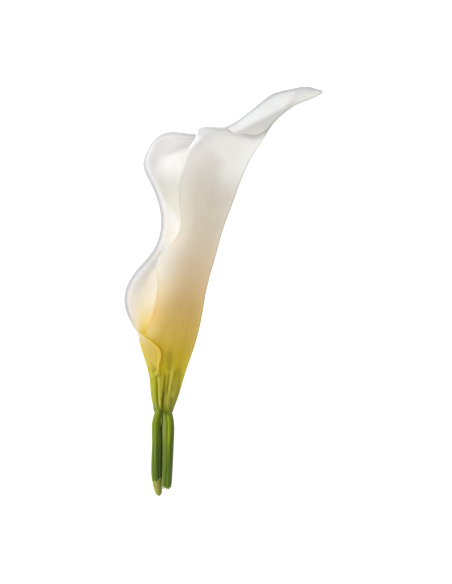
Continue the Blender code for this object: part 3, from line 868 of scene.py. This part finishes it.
def sweep(path, along, around, relief):
    """A closed rod along a path: relief(s, phi, y) adds millimetres to its radius. Angle phi is 0 at +X, 90 on top."""
    path = np.array(path, float)
    steps = np.concatenate([[0], np.cumsum(np.linalg.norm(np.diff(path[:, :3], axis=0), axis=1))])
    at = np.linspace(0, steps[-1], along)
    rows = spline(steps, path, at)
    centre = rows[:, :3]
    forward = unit(np.gradient(centre, axis=0))
    across = unit(np.cross(forward, np.array([0.0, 0.0, 1.0])))
    across *= np.sign(across[:, :1] + 1e-12)
    up = unit(np.cross(across, forward))
    up *= np.sign(up[:, 2:] + 1e-12)
    phi = np.linspace(0, 2 * math.pi, around, endpoint=False)
    s, angle = np.meshgrid(at, phi, indexing="ij")
    extra, fields = relief(s, angle, np.repeat(centre[:, 1:2], around, axis=1))
    half = np.maximum(rows[:, 3:4] + extra, 0.05)
    tall = np.maximum(rows[:, 4:5] + extra, 0.05)
    points = (
        centre[:, None, :]
        + (half * np.cos(angle))[:, :, None] * across[:, None, :]
        + (tall * np.sin(angle))[:, :, None] * up[:, None, :]
    )
    points[:, :, 1] += fields.pop("shift", np.zeros(s.shape))
    number = np.arange(along * around).reshape(along, around)
    i, j = np.meshgrid(np.arange(along - 1), np.arange(around), indexing="ij")
    k = (j + 1) % around
    quads = np.stack([number[i, j], number[i, k], number[i + 1, k], number[i + 1, j]], -1).reshape(-1, 4)
    flat = points.reshape(-1, 3)
    values = {"along": flat[:, 1].copy(), "around": np.degrees(angle).ravel()}
    values.update({name: np.asarray(value, float).ravel() for name, value in fields.items()})
    faces = quads.tolist()
    # each end closes over two inner rings to a middle point, a little domed
    for ring, way in ((number[0], -1), (number[-1], 1)):
        middle = flat[ring].mean(axis=0)
        step = unit(forward[0 if way < 0 else -1])
        last = ring
        for share, dome in ((0.66, 0.10), (0.33, 0.22)):
            new = np.arange(len(flat), len(flat) + around)
            flat = np.vstack([flat, middle + (flat[ring] - middle) * share + way * step * dome])
            for name in values:
                values[name] = np.concatenate([values[name], values[name][ring]])
            nxt = np.roll(np.arange(around), -1)
            strip = np.stack([last, last[nxt], new[nxt], new], -1)
            faces += (strip if way > 0 else strip[:, ::-1]).tolist()
            last = new
        top = len(flat)
        flat = np.vstack([flat, middle + way * step * 0.26])
        for name in values:
            values[name] = np.append(values[name], values[name][ring].mean())
        for a, b in zip(last, np.roll(last, -1)):
            faces.append([int(a), int(b), top] if way > 0 else [int(b), int(a), top])
    return flat + SHIFT, faces, values


def strand_relief(ribs, phase, bright_at, edge_at, dark_at, sheath_end, seed):
    """Ribs along a strand, one raised ridge with a painted highlight, a side painted lighter as if lit and a side
    painted in shade; past sheath_end the skin has come off.
    """
    rng = np.random.default_rng(seed)
    wobble = rng.uniform(0, 2 * math.pi, 4)

    def relief(s, phi, y):
        lean = 0.25 * np.sin(s / 9 + wobble[0]) + 0.12 * np.sin(s / 3.7 + wobble[1])
        rib = np.cos(ribs * phi + phase + lean) + 0.6 * np.cos((ribs + 4) * phi + wobble[2] - lean)
        depth = 0.075 * (1 + 0.3 * np.sin(s / 5 + wobble[3]))
        extra = depth * rib

        def around_at(degrees, width):
            gap = (np.degrees(phi) - degrees + 180) % 360 - 180
            return np.exp(-((gap / width) ** 2))

        upper = 0.15 + 0.85 * ease(y, -73, -57)
        # painted highlight on the raised ridge, painted light on the lit side, painted shade on the side away from the
        # light
        ridge_highlight = around_at(bright_at, 10) * upper
        painted_light_side = around_at(edge_at, 24) * (0.5 + 0.5 * upper)
        shade = np.clip(around_at(dark_at, 62) - 0.5 * ridge_highlight, 0, 1)
        extra = extra + 0.10 * ridge_highlight
        edge = sheath_end + 0.7 * np.sin(2 * phi + 0.6) + 0.25 * np.sin(7 * phi)
        bare = ease(y, edge, edge - 0.35)
        extra = extra - 0.14 * bare
        fields = {
            "ridge": np.maximum(np.clip(rib - 0.9, 0, 1) * 0.3, ridge_highlight) * (1 - bare),
            "painted_light_side": painted_light_side * (1 - 0.6 * bare),
            "groove": np.clip(-rib - 0.7, 0, 1) * 0.9 * (1 - 0.7 * bare),
            "shade": shade * (1 - 0.2 * bare),
            "bare": bare,
            "cut": np.zeros(s.shape),
        }
        return extra, fields

    return relief


def left_relief(s, phi, y):
    extra, fields = strand_relief(7, 0.4, 116, 166, 22, -78.2, 5)(s, phi, y)
    fields["ridge"] = 0.18 * fields["ridge"]
    return extra * ease(y, -85.4, -82.0), fields


def right_relief(s, phi, y):
    extra, fields = strand_relief(8, 1.9, 88, 152, -12, -99.0, 8)(s, phi, y)
    last = s >= s.max() - 0.9
    torn = 0.55 * np.sin(3 * phi + 1.0) + 0.35 * np.sin(11 * phi) + 0.2 * np.sin(23 * phi + 2)
    fields["shift"] = np.where(last, torn * ease(s, s.max() - 0.9, s.max()), 0.0)
    fields["cut"] = ease(s, s.max() - 0.5, s.max()) * 0.9
    return extra, fields


def plain_relief(s, phi, y):
    zero = np.zeros(s.shape)
    return 0.04 * np.cos(5 * phi + s), {"ridge": zero + 0.1, "painted_light_side": zero, "groove": zero, "shade": zero, "bare": zero, "cut": zero}


def rod_relief(s, phi, y):
    """Packed round buds in crossing spirals."""
    lattice = np.cos(16 * phi + 4.6 * s) + np.cos(16 * phi - 4.6 * s)
    low = np.clip(lattice, -0.6, 2)
    bud = (low + 0.6) / 2.6
    fade = ease(s, s.max(), s.max() - 1.6) * 0.7 + 0.3
    return (0.26 * np.sqrt(bud) - 0.10) * fade, {"ridge": np.sqrt(bud)}


strands = stalk_material()
for name, path, relief, along, around in (
    ("stalk_strand_left", STRAND_LEFT, left_relief, 260, 96),
    ("stalk_strand_right", STRAND_RIGHT, right_relief, 260, 96),
    ("stalk_splinter", SPLINTER, plain_relief, 30, 20),
):
    points, faces, fields = sweep(path, along, around, relief)
    piece = mesh_object(name, points, faces, fields)
    piece.data.materials.append(strands)
    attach(piece, "root")
    if name != "stalk_splinter":
        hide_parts(name.replace("_strand", ""))

points, faces, fields = sweep(ROD, 330, 128, rod_relief)
rod = mesh_object("spadix_rod", points, faces, fields)
rod.data.materials.append(spadix_material())
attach(rod, "root")
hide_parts("spadix")

# ---- table, light and camera ---------------------------------------------------------------------------------
bpy.ops.mesh.primitive_plane_add(size=3.0, location=(0, 0, cad_low[2] - 0.0002))
floor = bpy.context.object
floor.name = "table"
m, t = tree_of("table_white")
shader = node(t, "ShaderNodeBsdfPrincipled", Roughness=0.9)
shader.inputs["Base Color"].default_value = (0.85, 0.85, 0.85, 1)
shader.inputs["Specular IOR Level"].default_value = 0.0
shader.inputs["Emission Color"].default_value = (1, 1, 1, 1)
shader.inputs["Emission Strength"].default_value = 0.85
out = node(t, "ShaderNodeOutputMaterial")
t.links.new(shader.outputs[0], out.inputs["Surface"])
floor.data.materials.append(m)

world = bpy.data.worlds.new("studio")
bpy.context.scene.world = world
world.use_nodes = True
world.node_tree.nodes["Background"].inputs["Color"].default_value = (1, 1, 1, 1)
world.node_tree.nodes["Background"].inputs["Strength"].default_value = 0.62


def softbox(name, at, to, size, power, colour=(1, 1, 1)):
    lamp = bpy.data.lights.new(name, "AREA")
    lamp.shape = "RECTANGLE"
    lamp.size, lamp.size_y = size
    lamp.energy = power
    lamp.color = colour
    o = bpy.data.objects.new(name, lamp)
    o.location = at
    o.rotation_euler = (Vector(to) - Vector(at)).to_track_quat("-Z", "Y").to_euler()
    bpy.context.scene.collection.objects.link(o)
    return o


softbox("key", (-0.75, 0.25, 0.75), (0, 0.01, 0.015), (0.7, 0.7), 4.0)

lens = 250.0
distance = 584 * 0.42 * MM * lens / 36.0
camera = bpy.data.cameras.new("camera")
camera.lens = lens
camera.sensor_width = 36.0
camera.clip_start, camera.clip_end = 0.1, 10.0
view = bpy.data.objects.new("camera", camera)
view.location = (SHIFT[0] * MM, SHIFT[1] * MM, distance)
bpy.context.scene.collection.objects.link(view)
bpy.context.scene.camera = view
bpy.context.scene.view_settings.view_transform = "Standard"
